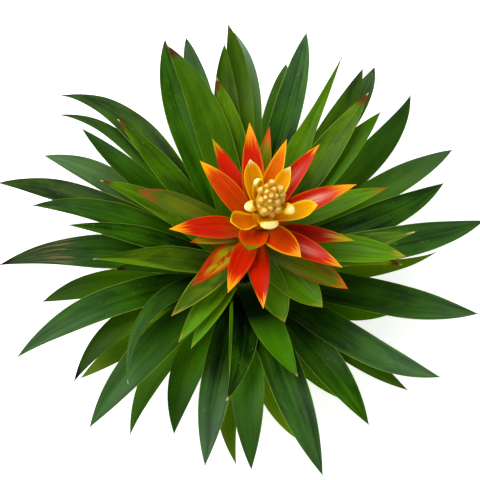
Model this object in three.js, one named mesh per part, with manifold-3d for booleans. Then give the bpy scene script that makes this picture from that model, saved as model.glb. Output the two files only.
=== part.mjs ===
// A scarlet star bromeliad: a rosette of strap leaves whose sheaths nest round a short cut stem,
// and a leaning flower stalk that carries green, red and yellow bracts and a tight cluster of buds.
// Millimetres, +Z up. The origin lies on the surface that the cut stem stands on, under the middle
// of the plant's spread. -Y is the front of the plant, and +X its right as seen from there.
import * as THREE from "three";
import { mergeVertices } from "three/addons/utils/BufferGeometryUtils.js";
import Module from "manifold-3d";

const wasm = await Module();
wasm.setup();

// The short stem: a cone whose side the leaf sheaths stand on, ring inside ring.
const GAP = 0.3;
const STEM_RADIUS = 28.4;
const STEM_FOOT = 3;
const STEM_CHAMFER = 1;
const STEM_TOP_RADIUS = 7.5;
const STEM_TOP = 33;
const STEM_SIDES = 32;

// The nested sheaths. Whorl 0 is the lowest and outermost.
const SHEATH_OUTER_RADIUS = 27;
const WHORL_STEP = 1.25;
const SHEATH_THICKNESS = 0.6;
const SHEATH_HALF_ANGLE = 0.47;
const BLADE_THICKNESS = 0.9;

// How a leaf of each whorl stands: it leaves the stem upright, bends to its pitch, then droops.
const BEND_LENGTH = 34;
const BEND_LENGTH_STEP = 2.7;
const PITCH = 25;
const PITCH_STEP = 1.6;
const DROOP_PER_MM = 0.27;
const PROFILE_STEP = 1;
const PROFILE_LENGTH = 340;

// The outline of a leaf: the share of its length where it is widest, and its width near the sheath.
const WIDEST_AT = 0.6;
const NECK_SHARE = 0.8;
const TIP_HALF_WIDTH = 0.5;

// Past its bend a leaf opens into a shallow channel, over a length, by a share of its half width.
const CHANNEL = 0.17;
const CHANNEL_OPENS = 60;

// Where a leaf's rows of points lie: shares of its bend, of the blade past it, and of its half width.
const STATIONS_ON_BEND = [0, 0.4, 0.75];
const STATIONS_ON_BLADE = [0, 0.2, 0.4, 0.6, 0.78, 0.92, 1];
const ACROSS = [-1, -0.5, 0, 0.5, 1];

// One leaf to a row: direction of its tip in degrees, counterclockwise from +X as seen from above,
// reach of the tip from the stem's axis, whorl, greatest width, sideways bow of its middle
// (positive is counterclockwise) and how blunt its end is: below 1 it runs out in a thin tail.
const LEAVES = [
  [188.7, 197, 0, 27, -6, 2.2],
  [288, 175, 0, 26, -12, 2],
  [6, 190, 0, 19, -12, 1.2],
  [79, 240, 0, 27, -2, 2.2],
  [215, 187, 1, 22, 0, 2.2],
  [305, 154, 1, 26, -5, 2],
  [46, 208, 1, 24, -7, 2],
  [148, 239, 1, 27, -6, 2.2],
  [268, 188, 2, 23, -11, 2],
  [342, 151, 2, 24, -11, 2],
  [138, 258, 2, 16, -17, 1.7],
  [59, 270, 2, 27, -9, 2.2],
  [237.5, 193, 3, 23, -12, 2],
  [321.5, 195, 3, 24, -5, 2],
  [103, 265, 3, 25, 2, 2.2],
  [31, 246, 3, 28, -5, 2.2],
  [135, 264, 4, 29, -22, 1.7],
  [249, 175, 4, 31, -11, 2.2],
  [347.8, 227, 4, 34, -8, 2],
  [60, 245, 4, 24, -8, 2.2],
  [92, 249, 5, 28, -10, 2.2],
  [160.5, 256, 5, 25, -6, 2.2],
  [217, 194, 5, 25, -17, 2.2],
  [306, 193, 5, 31, 3, 2.2],
  [22, 209, 5, 31, -11, 2.2],
  [108.5, 249, 6, 33, 11, 1.6],
  [181.3, 230, 6, 33, -8, 1.5],
  [260, 197, 6, 30, -3, 2.2],
  [327.7, 212, 6, 30, -15, 2.4],
  [46, 240, 6, 30, -19, 2],
  [75, 246, 7, 28, -4, 2.2],
  [140.7, 201, 7, 22, 4, 2.2],
  [205, 227, 7, 29, -10, 1.9],
  [272, 198, 7, 32, -1, 2.2],
  [9, 231, 7, 33, -12, 2.2],
  [93.5, 241, 8, 26, -6, 2.2],
  [167, 203, 8, 24, -9, 2.2],
  [230, 211, 8, 32, -5, 2.2],
  [64, 220, 9, 18, -3, 1],
  [172, 163, 9, 20, -3, 1.7],
  [288.5, 216, 9, 34, -2, 2.2],
  [95, 206, 10, 26, 4, 2.2],
  [190, 119, 10, 20, -4, 2],
  [264, 142, 10, 24, 10, 2],
  [45, 182, 11, 28, -3, 2.2],
  [134, 169, 11, 22, 0, 2],
  [232, 163, 11, 17, -30, 1.4],
  [51, 186, 12, 29, -4, 2],
  [156, 143, 12, 21, -6, 2],
  [291, 131, 12, 29, -5, 2.3],
  [99, 158, 13, 29, -6, 2],
  [188, 135, 13, 26, 0, 1.1],
  [350, 143, 13, 24, 6, 2],
  [111, 198, 14, 33, -11, 2],
  [1, 152, 14, 22, -6, 2],
];

// The flower stalk and the cores of the head, one on the other, each a stack of [height, radius] rings.
const RED_FOOT = 150;
const YELLOW_FOOT = 186;
const FLOWER_FOOT = 205;
const LEAN_X = 21;
const LEAN_Y = 7;
const LEAN_RISE = 200;
const LEAN_POWER = 1.5;
const STALK_RINGS = [[STEM_TOP + GAP, 6.5], [60, 6], [90, 6.5], [112, 7.5], [132, 8], [RED_FOOT, 8]];
const RED_RINGS = [[RED_FOOT + GAP, 8], [168, 8.5], [YELLOW_FOOT, 8]];
const YELLOW_RINGS = [[YELLOW_FOOT + GAP, 8], [196, 8], [FLOWER_FOOT, 7.5]];
const FLOWER_RINGS = [[FLOWER_FOOT + GAP, 7], [214, 8], [226, 9.5], [236, 9], [243, 7]];
const CORE_SIDES = 16;
const BUD_SEGMENTS = 10;
const BUD_RINGS = 6;
const MERGE_DISTANCE = 1e-3;

// Bracts leave the stalk steeply and flatten out: a bract's line starts towards a point that is
// ahead and up by these shares of its reach and rise.
const BRACT_THICKNESS = 1;
const BRACT_STATIONS = [0, 0.2, 0.38, 0.55, 0.7, 0.83, 0.93, 1];
const BRACT_ACROSS = [-1, 0, 1];
const BRACT_NECK = 0.5;
const POINTED = { ahead: 0.4, up: 0.85, widestAt: 0.5, power: 1.7, cup: 0.22 };
const ROUNDED = { ahead: 0.8, up: 0.45, widestAt: 0.6, power: 2.6, cup: 0.4 };

// One bract to a row: direction, reach from the stalk's middle line, height of its foot,
// height of its tip and greatest width.
const GREEN_BRACTS = [
  [163, 105, 138, 185, 20],
  [80, 90, 134, 190, 12],
  [15, 123, 138, 188, 21],
  [350, 138, 118, 168, 19],
  [327, 99, 132, 168, 21],
  [314, 91, 122, 150, 24],
  [291, 84, 122, 148, 21],
  [227, 101, 120, 152, 22],
  [237, 114, 112, 145, 20],
  [243, 112, 108, 140, 20],
  [200, 62, 138, 174, 14],
];
const RED_BRACTS = [
  [94, 85, 165, 205, 20],
  [118, 81, 162, 200, 17],
  [135, 69, 166, 205, 20],
  [189, 75, 160, 200, 22],
  [226, 77, 152, 180, 20],
  [250, 68, 156, 188, 20],
  [275, 77, 155, 184, 19],
  [329, 85, 162, 195, 20],
  [348, 87, 154, 190, 17],
  [17, 89, 166, 208, 20],
  [49, 82, 168, 210, 18],
  [68, 67, 170, 221, 16],
  [314, 53, 168, 205, 22],
  [275, 33, 167, 202, 20],
];
const YELLOW_BRACTS = [
  [105, 36, 192, 240, 16],
  [49, 36, 192, 243, 14],
  [0, 47, 190, 226, 16],
  [205, 28, 189, 218, 19],
];
const CREAM_BRACTS = [
  [196, 15, 208, 230, 10],
  [334, 17, 209, 233, 10],
  [275, 19, 207, 226, 13],
  [135, 14, 212, 244, 8],
];

// Buds and cream bract tips of the cluster: direction and distance from the stalk's middle line,
// height of the middle, radius.
const BUDS = [
  [92, 7.5, 245, 4.2],
  [149, 8.4, 242, 4],
  [22, 7.3, 243, 4.6],
  [205, 2.2, 245, 4],
  [207, 7.5, 239, 4],
  [316, 7, 241, 4],
  [242, 11.1, 234, 4.4],
  [304, 11.4, 236, 4],
  [135, 14.6, 243, 4],
  [196, 15.4, 229, 4.8],
  [334, 17, 232, 4.8],
  [275, 18.7, 225, 5],
];

const radians = (degrees) => (degrees * Math.PI) / 180;

// The line that a leaf of a whorl follows, as a table of radius, height and pitch along its length.
function whorlProfile(whorl) {
  const sheathRadius = SHEATH_OUTER_RADIUS - whorl * WHORL_STEP;
  const side = (STEM_TOP - STEM_FOOT) / (STEM_RADIUS - STEM_TOP_RADIUS);
  const bendLength = BEND_LENGTH + whorl * BEND_LENGTH_STEP;
  const pitch = radians(PITCH + whorl * PITCH_STEP);
  const droop = radians(DROOP_PER_MM);
  const inner = sheathRadius - SHEATH_THICKNESS / 2;
  let r = sheathRadius;
  let z = STEM_FOOT + (STEM_RADIUS - inner) * side + 2 * GAP;
  const points = [];
  for (let s = 0; s <= PROFILE_LENGTH; s += PROFILE_STEP) {
    const bent = Math.min(s / bendLength, 1);
    const turn = bent * bent * (3 - 2 * bent);
    const angle = Math.PI / 2 - (Math.PI / 2 - pitch) * turn - droop * Math.max(s - bendLength, 0);
    points.push({ r, z, angle });
    r += Math.cos(angle) * PROFILE_STEP;
    z += Math.sin(angle) * PROFILE_STEP;
  }
  return { points, bendLength };
}

function profileAt(profile, s) {
  const at = s / PROFILE_STEP;
  const i = Math.min(Math.floor(at), profile.points.length - 2);
  const f = at - i;
  const a = profile.points[i];
  const b = profile.points[i + 1];
  return {
    r: a.r + (b.r - a.r) * f,
    z: a.z + (b.z - a.z) * f,
    angle: a.angle + (b.angle - a.angle) * f,
  };
}

function lengthForReach(profile, reach) {
  const i = profile.points.findIndex((p) => p.r >= reach);
  if (i < 0) {
    throw new Error(`a leaf can't reach ${reach}`);
  }
  return i * PROFILE_STEP;
}

// Half the width of a blade at a share u of its length: it swells from its neck, then runs to a tip.
function halfWidth(u, width, widestAt, neckShare, power) {
  const rise = Math.min(u / widestAt, 1);
  const neck = neckShare + (1 - neckShare) * rise * rise * (3 - 2 * rise);
  const fall = Math.max((u - widestAt) / (1 - widestAt), 0);
  return Math.max((width / 2) * neck * (1 - Math.pow(fall, power)), TIP_HALF_WIDTH);
}

// A closed thin blade. Rows run along it, and each has a point for each share in ACROSS.
function bladeGeometry(topRows, bottomRows) {
  const positions = [];
  const indices = [];
  const across = topRows[0].length;
  const rows = topRows.length;
  for (const row of [...topRows, ...bottomRows]) {
    for (const p of row) {
      positions.push(p.x, p.y, p.z);
    }
  }
  const top = (i, j) => i * across + j;
  const bottom = (i, j) => (rows + i) * across + j;
  const quad = (a, b, c, d) => indices.push(a, b, c, a, c, d);
  for (let i = 0; i + 1 < rows; i++) {
    for (let j = 0; j + 1 < across; j++) {
      quad(top(i, j), top(i + 1, j), top(i + 1, j + 1), top(i, j + 1));
      quad(bottom(i, j), bottom(i, j + 1), bottom(i + 1, j + 1), bottom(i + 1, j));
    }
    quad(top(i, 0), bottom(i, 0), bottom(i + 1, 0), top(i + 1, 0));
    const last = across - 1;
    quad(top(i, last), top(i + 1, last), bottom(i + 1, last), bottom(i, last));
  }
  for (let j = 0; j + 1 < across; j++) {
    quad(top(0, j), top(0, j + 1), bottom(0, j + 1), bottom(0, j));
    const end = rows - 1;
    quad(top(end, j), bottom(end, j), bottom(end, j + 1), top(end, j + 1));
  }
  const geometry = new THREE.BufferGeometry();
  geometry.setAttribute("position", new THREE.Float32BufferAttribute(positions, 3));
  geometry.setIndex(indices);
  geometry.computeVertexNormals();
  return geometry;
}

function leafGeometry([azimuth, reach, whorl, width, bow, blunt]) {
  const profile = whorlProfile(whorl);
  const length = lengthForReach(profile, reach);
  const stations = [
    ...STATIONS_ON_BEND.map((f) => f * profile.bendLength),
    ...STATIONS_ON_BLADE.map((f) => profile.bendLength + f * (length - profile.bendLength)),
  ];
  const topRows = [];
  const bottomRows = [];
  for (const s of stations) {
    const u = s / length;
    const { r, z, angle } = profileAt(profile, s);
    const blade = halfWidth(u, width, WIDEST_AT, NECK_SHARE, blunt);
    const half = Math.min(blade, SHEATH_HALF_ANGLE * r);
    // u²(1 - u) is greatest two thirds of the way along, where it is 4/27.
    const sideways = bow * (27 / 4) * u * u * (1 - u);
    const opened = Math.min(Math.max((s - profile.bendLength) / CHANNEL_OPENS, 0), 1);
    const thickness = SHEATH_THICKNESS + (BLADE_THICKNESS - SHEATH_THICKNESS) * opened;
    const point = (v, face) => {
      const lift = CHANNEL * opened * v * v * half + face * thickness * 0.5;
      const a = radians(azimuth) + (sideways + v * half) / r;
      const radius = r - lift * Math.sin(angle);
      return new THREE.Vector3(radius * Math.cos(a), radius * Math.sin(a), z + lift * Math.cos(angle));
    };
    topRows.push(ACROSS.map((v) => point(v, 1)));
    bottomRows.push(ACROSS.map((v) => point(v, -1)));
  }
  return bladeGeometry(topRows, bottomRows);
}

function stemGeometry() {
  const outline = [
    new THREE.Vector2(0, 0),
    new THREE.Vector2(STEM_RADIUS - STEM_CHAMFER, 0),
    new THREE.Vector2(STEM_RADIUS, STEM_FOOT),
    new THREE.Vector2(STEM_TOP_RADIUS, STEM_TOP),
    new THREE.Vector2(0, STEM_TOP),
  ];
  return new THREE.LatheGeometry(outline, STEM_SIDES).rotateX(Math.PI / 2);
}

// A point of the stalk's middle line, which leans to the right and a little back as it rises.
function stalkAxis(height) {
  const lean = Math.pow(Math.max(height - STEM_TOP, 0) / LEAN_RISE, LEAN_POWER);
  return new THREE.Vector3(LEAN_X * lean, LEAN_Y * lean, height);
}

// A closed core along the stalk's middle line.
function coreGeometry(rings) {
  const positions = [];
  const indices = [];
  for (const [height, radius] of rings) {
    const middle = stalkAxis(height);
    for (let i = 0; i < CORE_SIDES; i++) {
      const a = (i / CORE_SIDES) * 2 * Math.PI;
      positions.push(middle.x + radius * Math.cos(a), middle.y + radius * Math.sin(a), height);
    }
  }
  for (let k = 0; k + 1 < rings.length; k++) {
    for (let i = 0; i < CORE_SIDES; i++) {
      const a = k * CORE_SIDES + i;
      const b = k * CORE_SIDES + ((i + 1) % CORE_SIDES);
      indices.push(a, b, b + CORE_SIDES, a, b + CORE_SIDES, a + CORE_SIDES);
    }
  }
  const last = (rings.length - 1) * CORE_SIDES;
  for (let i = 1; i + 1 < CORE_SIDES; i++) {
    indices.push(0, i + 1, i, last, last + i, last + i + 1);
  }
  const geometry = new THREE.BufferGeometry();
  geometry.setAttribute("position", new THREE.Float32BufferAttribute(positions, 3));
  geometry.setIndex(indices);
  return geometry;
}

function bractGeometry([azimuth, reach, foot, tip, width], shape) {
  const start = stalkAxis(foot);
  const a = radians(azimuth);
  const out = new THREE.Vector3(Math.cos(a), Math.sin(a), 0);
  const side = new THREE.Vector3(-Math.sin(a), Math.cos(a), 0);
  const rise = tip - foot;
  const topRows = [];
  const bottomRows = [];
  for (const t of BRACT_STATIONS) {
    const ahead = reach * (2 * t * (1 - t) * shape.ahead + t * t);
    const up = rise * (2 * t * (1 - t) * shape.up + t * t);
    const slope = Math.atan2(
      rise * ((1 - 2 * t) * shape.up + t),
      reach * ((1 - 2 * t) * shape.ahead + t),
    );
    const half = halfWidth(t, width, shape.widestAt, BRACT_NECK, shape.power);
    const point = (v, face) => {
      const lift = shape.cup * v * v * half + face * BRACT_THICKNESS * 0.5;
      return start.clone()
        .addScaledVector(out, ahead - lift * Math.sin(slope))
        .addScaledVector(side, v * half)
        .add(new THREE.Vector3(0, 0, up + lift * Math.cos(slope)));
    };
    topRows.push(BRACT_ACROSS.map((v) => point(v, 1)));
    bottomRows.push(BRACT_ACROSS.map((v) => point(v, -1)));
  }
  return bladeGeometry(topRows, bottomRows);
}

function budGeometry([azimuth, distance, height, radius]) {
  const a = radians(azimuth);
  const middle = stalkAxis(height);
  return new THREE.SphereGeometry(radius, BUD_SEGMENTS, BUD_RINGS)
    .rotateX(Math.PI / 2)
    .translate(middle.x + distance * Math.cos(a), middle.y + distance * Math.sin(a), height);
}

// Joins closed geometries that run into each other into one closed surface.
function join(geometries) {
  const solids = geometries.map((geometry) => {
    const bare = geometry.clone();
    bare.deleteAttribute("normal");
    bare.deleteAttribute("uv");
    const merged = mergeVertices(bare, MERGE_DISTANCE);
    return new wasm.Manifold(new wasm.Mesh({
      numProp: 3,
      vertProperties: merged.attributes.position.array,
      triVerts: new Uint32Array(merged.index.array),
    }));
  });
  const mesh = wasm.Manifold.union(solids).getMesh();
  const geometry = new THREE.BufferGeometry();
  geometry.setAttribute("position", new THREE.Float32BufferAttribute(mesh.vertProperties, 3));
  geometry.setIndex(new THREE.Uint32BufferAttribute(mesh.triVerts, 1));
  geometry.computeVertexNormals();
  return geometry;
}

const material = (color, roughness) => new THREE.MeshStandardMaterial({ color, roughness, metalness: 0 });
const leafGreen = material(0x2f6a12, 0.4);
const plant = new THREE.Group();

function addPiece(name, geometry, look) {
  const mesh = new THREE.Mesh(geometry, look);
  mesh.name = name;
  plant.add(mesh);
}

const bracts = (rows, shape) => rows.map((row) => bractGeometry(row, shape));

addPiece("stem_base", stemGeometry(), material(0x7d8a4a, 0.7));
LEAVES.forEach((row, i) => {
  addPiece(`leaf_${String(i + 1).padStart(2, "0")}`, leafGeometry(row), leafGreen);
});
addPiece(
  "flower_stalk",
  join([coreGeometry(STALK_RINGS), ...bracts(GREEN_BRACTS, POINTED)]),
  material(0x5a7d16, 0.45),
);
addPiece(
  "red_bracts",
  join([coreGeometry(RED_RINGS), ...bracts(RED_BRACTS, POINTED)]),
  material(0xd42a06, 0.4),
);
addPiece(
  "yellow_bracts",
  join([coreGeometry(YELLOW_RINGS), ...bracts(YELLOW_BRACTS, ROUNDED)]),
  material(0xf0a800, 0.45),
);
addPiece(
  "flower_cluster",
  join([coreGeometry(FLOWER_RINGS), ...bracts(CREAM_BRACTS, ROUNDED), ...BUDS.map(budGeometry)]),
  material(0xe0c070, 0.5),
);

const middle = new THREE.Box3().setFromObject(plant).getCenter(new THREE.Vector3());
plant.position.set(-middle.x, -middle.y, 0);

export default plant;
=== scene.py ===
"""The looks of a scarlet star bromeliad: glossy strap leaves, a leaning stalk with green, red and
yellow bracts, a cluster of closed florets, and the cut stem that the plant stands on.

Tables and sizes are millimetres from the stem's axis, as in the part's source, and MM turns them
into metres. A leaf or bract is a closed thin blade: rows run along it, and each row is a ring of
points over its upper face and back under it.
"""

import math
import random

import bpy
import numpy as np
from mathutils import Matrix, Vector


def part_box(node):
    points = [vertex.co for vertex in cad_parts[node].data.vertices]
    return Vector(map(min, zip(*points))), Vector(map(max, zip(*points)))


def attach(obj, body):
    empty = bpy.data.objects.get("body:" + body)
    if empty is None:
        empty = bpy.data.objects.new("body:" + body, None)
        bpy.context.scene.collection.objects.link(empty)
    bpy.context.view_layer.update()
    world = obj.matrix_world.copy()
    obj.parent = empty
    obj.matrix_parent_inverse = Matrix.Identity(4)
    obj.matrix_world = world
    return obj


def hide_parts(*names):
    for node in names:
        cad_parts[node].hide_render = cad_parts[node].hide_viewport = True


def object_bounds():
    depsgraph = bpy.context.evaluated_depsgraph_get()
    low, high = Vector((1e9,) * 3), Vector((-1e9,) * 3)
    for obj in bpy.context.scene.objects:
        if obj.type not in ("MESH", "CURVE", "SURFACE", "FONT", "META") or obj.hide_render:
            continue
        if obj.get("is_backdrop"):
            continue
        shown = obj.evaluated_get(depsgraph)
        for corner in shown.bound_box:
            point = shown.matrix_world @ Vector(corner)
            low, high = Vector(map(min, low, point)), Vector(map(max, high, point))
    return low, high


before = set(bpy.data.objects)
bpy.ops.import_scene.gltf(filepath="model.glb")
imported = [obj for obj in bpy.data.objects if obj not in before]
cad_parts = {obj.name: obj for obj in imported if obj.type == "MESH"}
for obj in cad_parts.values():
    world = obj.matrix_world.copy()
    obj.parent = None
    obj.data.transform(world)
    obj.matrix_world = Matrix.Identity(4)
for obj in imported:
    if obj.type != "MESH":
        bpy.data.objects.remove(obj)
cad_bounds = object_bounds()

MM = 0.001
BODY = "root"
LEAF_SEED = 7
HEAD_SEED = 11
SHARP_ANGLE = 50

# The stem and the nested sheaths that stand round it. Its cut and cap are (radius, height) rings.
GAP = 0.3
STEM_RADIUS = 28.4
STEM_FOOT = 3
STEM_TOP_RADIUS = 7.5
STEM_TOP = 33
STEM_CUT = [(0.5, 0), (9, 0), (18, 0), (25, 0), (27.4, 0.2), (28.2, 1.5)]
STEM_CAP = [(0.5, STEM_TOP)]
STEM_ROWS = 40
STEM_SIDES = 96
SCAR_DEPTH = 0.35
SCARS_START = 2
SCARS_END = STEM_TOP - 1
SHEATH_OUTER_RADIUS = 27
WHORL_STEP = 1.25
SHEATH_THICKNESS = 0.6
SHEATH_HALF_ANGLE = 0.47

# How a leaf of each whorl stands: it leaves the stem upright, bends to its pitch, then droops.
BEND_LENGTH = 34
BEND_LENGTH_STEP = 2.7
PITCH = 25
PITCH_STEP = 1.6
DROOP_PER_MM = 0.27
PROFILE_LENGTH = 340

# A leaf's outline and section.
WIDEST_AT = 0.6
NECK_SHARE = 0.8
TIP_HALF_WIDTH = 0.4
CHANNEL = 0.17
CHANNEL_OPENS = 60
CREASE_SHARE = 0.6
CREASE_SOFTNESS = 0.12
BLADE_THICKNESS = 0.9
EDGE_THICKNESS = 0.3
TIP_THINNING = 0.5
WAVE_HEIGHT = 0.7
WAVE_LENGTH = 74
MOST_ROLL = 3
BASE_HALF_ANGLE = 0.8
BASE_OVERLAP = 0.25
LEAF_ROWS = 68
LEAF_COLUMNS = 15
ROW_CROWDING = 1.25

# One leaf to a row: direction of its tip in degrees, reach of the tip, whorl, greatest width,
# sideways bow, how blunt its end is, then its looks: tone from dark (0) to light (1), yellowness,
# how much painted shade darkens it towards the plant's middle (above 1 the painted shade also
# reaches further out), how dark towards its tip, how much grey bloom and painted sheen its outer
# part has, and its kind of tip.
LEAVES = [
    (188.7, 197, 0, 27, -6, 2.2, 1, 0.5, 0, 0.8, 0.05, "green"),
    (288, 175, 0, 26, -12, 2, 1, 1, 0, 0.3, 0, "green"),
    (6, 190, 0, 19, -12, 1.2, 1, 1, 0, 0.6, 0, "dark"),
    (79, 240, 0, 27, -2, 2.2, 0.76, 0.2, 0, 0.65, 0.14, "green"),
    (215, 187, 1, 22, 0, 2.2, 1, 1, 0, 0.5, 0.06, "green"),
    (305, 154, 1, 26, -5, 2, 0.76, 0.3, 0, 0, 0, "green"),
    (46, 208, 1, 24, -7, 2, 0.22, 0.1, 0.3, 0.2, 0.03, "green"),
    (148, 239, 1, 27, -6, 2.2, 0.22, 0.1, 0.1, 0.35, 0.32, "green"),
    (268, 188, 2, 23, -11, 2, 1, 1, 0, 0.55, 0.04, "green"),
    (342, 151, 2, 24, -11, 2, 1, 0.4, 0.8, 0.3, 0, "green"),
    (138, 258, 2, 16, -17, 1.7, 0.26, 0.1, 0, 0.65, 0.1, "dark"),
    (59, 270, 2, 27, -9, 2.2, 0.36, 0.1, 0, 0.6, 0.18, "dark"),
    (237.5, 193, 3, 23, -12, 2, 0.8, 0.2, 0.2, 0.6, 0.1, "green"),
    (321.5, 195, 3, 24, -5, 2, 0.42, 0.2, 0, 0.45, 0.03, "green"),
    (103, 265, 3, 25, 2, 2.2, 0.58, 0.1, 0, 0.75, 0.45, "dark"),
    (31, 246, 3, 28, -5, 2.2, 0.85, 0.2, 0, 0.7, 0.42, "green"),
    (135, 264, 4, 29, -22, 1.7, 0.16, 0.1, 0, 0.5, 0.06, "dark"),
    (249, 175, 4, 31, -11, 2.2, 0.72, 0, 0, 0.85, 0, "green"),
    (347.8, 227, 4, 34, -8, 2, 0.2, 0, 0.6, 0.1, 0.14, "green"),
    (60, 245, 4, 24, -8, 2.2, 0.21, 0.2, 0, 0.55, 0.03, "green"),
    (92, 249, 5, 28, -10, 2.2, 1, 0.6, 0, 0.3, 0.85, "green"),
    (160.5, 256, 5, 25, -6, 2.2, 0.12, 0.1, 0, 0.5, 0.04, "green"),
    (217, 194, 5, 25, -17, 2.2, 0.55, 0.4, 0, 0.86, 0.03, "brown"),
    (306, 193, 5, 31, 3, 2.2, 0.2, 0, 0.3, 0.1, 0, "green"),
    (22, 209, 5, 31, -11, 2.2, 0.12, 0, 0.15, 0, 0.02, "green"),
    (108.5, 249, 6, 33, 11, 1.6, 0.22, 0, 0, 0.3, 0, "dark"),
    (181.3, 230, 6, 33, -8, 1.5, 0.24, 0, 0, 0.75, 0.14, "brown"),
    (260, 197, 6, 30, -3, 2.2, 0.12, 0, 0.7, 0, 0.2, "green"),
    (327.7, 212, 6, 30, -15, 2.4, 0.19, 0, 0.75, 0, 0.24, "green"),
    (46, 240, 6, 30, -19, 2, 0.75, 0.1, 0.7, 0.85, 0.1, "green"),
    (75, 246, 7, 28, -4, 2.2, 0.16, 0, 0.3, 0, 0.14, "green"),
    (140.7, 201, 7, 22, 4, 2.2, 0.32, 0, 0, 0.65, 0, "green"),
    (205, 227, 7, 29, -10, 1.9, 0.18, 0, 0.2, 0.2, 0.14, "green"),
    (272, 198, 7, 32, -1, 2.2, 0.68, 0, 0, 0.75, 0.14, "green"),
    (9, 231, 7, 33, -12, 2.2, 0.26, 0, 0.1, 0.45, 0.12, "green"),
    (93.5, 241, 8, 26, -6, 2.2, 0.5, 0.5, 0.35, 0.75, 0, "green"),
    (167, 203, 8, 24, -9, 2.2, 0.23, 0, 0.15, 0.45, 0.03, "green"),
    (230, 211, 8, 32, -5, 2.2, 0.37, 0, 0.8, 0.5, 0.22, "green"),
    (64, 220, 9, 22, -3, 0.7, 0.35, 0.3, 0.15, 0.2, 0, "dark"),
    (172, 163, 9, 20, -3, 1.7, 0.11, 0, 0.05, 0, 0, "green"),
    (288.5, 216, 9, 34, -2, 2.2, 0.15, 0, 0.5, 0.2, 0.1, "green"),
    (95, 206, 10, 26, 4, 2.2, 0.15, 0.2, 0, 0.4, 0, "green"),
    (190, 119, 10, 20, -4, 2, 0.65, 0, 0.3, 0.8, 0, "red"),
    (264, 142, 10, 24, 10, 2, 0.04, 0, 1.1, 0, 0, "pale"),
    (45, 182, 11, 28, -3, 2.2, 0.68, 0.2, 0, 0.55, 0, "green"),
    (134, 169, 11, 22, 0, 2, 0.2, 0.1, 0.7, 0, 0, "red"),
    (232, 163, 11, 17, -30, 1.4, 0.2, 0, 1, 0, 0.1, "green"),
    (51, 186, 12, 29, -4, 2, 0.15, 0.3, 0.8, 0, 0.02, "red"),
    (156, 143, 12, 21, -6, 2, 0.25, 0.35, 0.2, 0, 0, "red"),
    (291, 131, 12, 29, -5, 2.3, 0.66, 0, 1.65, 0.4, 0, "green"),
    (99, 158, 13, 29, -6, 2, 0.27, 0.3, 0.2, 0, 0, "red"),
    (188, 135, 13, 26, 0, 1.1, 0.12, 0.25, 0, 0.3, 0, "pale"),
    (350, 143, 13, 24, 6, 2, 1, 1, 0, 0, 0, "red"),
    (111, 198, 14, 33, -11, 2, 0.36, 0.2, 0.35, 0.5, 0, "red"),
    (1, 152, 14, 22, -6, 2, 0.2, 0.35, 0.9, 0, 0, "pale"),
]

# The leaves and whorls that are marked in their own way, and where each kind of tip starts.
FIRST_INNER_LEAF = 45
SCUFFED_LEAF = 27
FOLDED_LEAF = 52
FIRST_POINTED_WHORL = 10
TIP_STARTS = {"green": 0.98, "dark": 0.95, "brown": 0.94, "red": 0.93, "pale": 0.96}

# The stalk leans to the right and a little back as it rises. Its cores are (height, radius) rings.
LEAN_X = 21
LEAN_Y = 7
LEAN_RISE = 200
LEAN_POWER = 1.5
STALK_RINGS = [(33.3, 6.5), (60, 6), (90, 6.5), (112, 7.5), (132, 8), (150, 8)]
RED_RINGS = [(150.3, 8), (168, 8.5), (186, 8)]
YELLOW_RINGS = [(186.3, 8), (196, 8), (205, 7.5)]
FLOWER_RINGS = [(205.3, 7), (214, 8), (226, 10.5), (236, 10.6), (243, 8.6)]
CORE_SIDES = 40
CORE_STEP = 3
CORE_GRAIN_RADIUS = 8

# A bract starts towards a point that is ahead and up by these shares of its reach and rise. It is
# widest at a share of its length, and its edges curl up by a share of its half width.
BRACT_THICKNESS = 1
BRACT_NECK = 0.5
BRACT_ROWS = 44
BRACT_COLUMNS = 15
CUPPED = {"ahead": 0.4, "up": 0.85, "widest": 0.55, "cup": 0.32}
POINTED = {"ahead": 0.4, "up": 0.85, "widest": 0.5, "cup": 0.22}
ROUNDED = {"ahead": 0.8, "up": 0.45, "widest": 0.6, "cup": 0.4}
MOTTLED_BODIES = {"mottled": 1, "olive": 0.18}

# One bract to a row: direction, reach from the stalk's middle line, heights of its foot and tip,
# greatest width, how blunt its end is, then its colours: body, tip, rim, how far the tip's colour
# comes down it, the share of its half width that the rim's colour takes, and how strongly a painted
# highlight lightens its middle.
GREEN_BRACTS = [
    (163, 105, 138, 184, 19, 3.4, "olive", "russet", "khaki", 0.2, 0.04, 0),
    (80, 90, 134, 190, 17, 1.7, "lime", "vermilion", "rust", 0.22, 0.12, 0),
    (15, 123, 138, 188, 21, 1.8, "fresh", "rust", "lime", 0.08, 0.08, 0),
    (350, 138, 118, 168, 26, 3.2, "fresh", "straw", "lime", 0.06, 0.06, 0),
    (327, 99, 132, 168, 24, 2.8, "khaki", "orange", "rust", 0.1, 0.03, 0),
    (314, 91, 122, 150, 33, 3, "fresh", "straw", "lime", 0.04, 0.05, 0),
    (291, 84, 122, 148, 29, 3, "leaf", "straw", "lime", 0.04, 0.06, 0),
    (227, 101, 120, 152, 22, 2, "grass", "straw", "lime", 0.08, 0.08, 0),
    (237, 114, 112, 145, 20, 2, "fresh", "straw", "lime", 0.06, 0.06, 0),
    (243, 112, 108, 140, 20, 2, "fresh", "straw", "lime", 0.06, 0.06, 0),
    (197, 57, 144, 182, 16, 1.9, "fleck", "brick", "brick", 0.12, 0.14, 0),
]
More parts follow.
